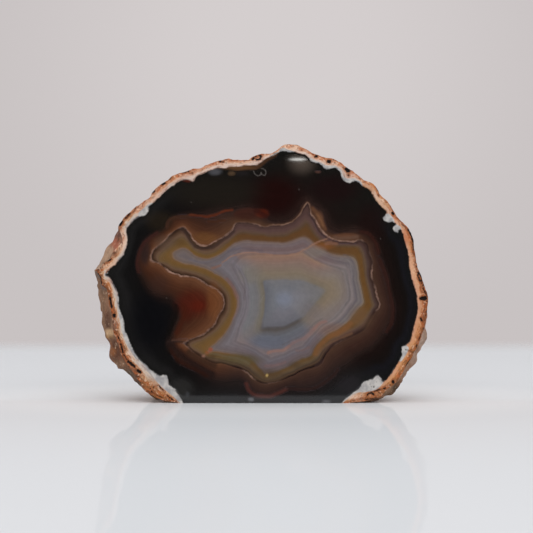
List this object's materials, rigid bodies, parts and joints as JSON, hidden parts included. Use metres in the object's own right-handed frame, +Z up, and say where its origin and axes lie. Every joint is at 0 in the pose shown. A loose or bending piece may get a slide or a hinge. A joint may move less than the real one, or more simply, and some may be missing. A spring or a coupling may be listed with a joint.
{
  "type": "polished agate",
  "caption": "Free-standing agate nodule sawn and polished across the front to show its bands, with a flat sawn base and a rough domed back.",
  "frame": {"origin": "on the plane of the sawn base, under the middle of the stone's bounding box", "axes": "+Z up, -Y the way the polished face looks, +X to the right as the face is seen"},
  "size_m": [0.1008, 0.0436, 0.0777],
  "materials": {
    "agate": "glass-smooth polished face, black with brown, amber, grey-blue and thin pink bands, in a pale pink and rust rough crust"
  },
  "bodies": {
    "root": {"agate": "agate"}
  },
  "joints": []
}
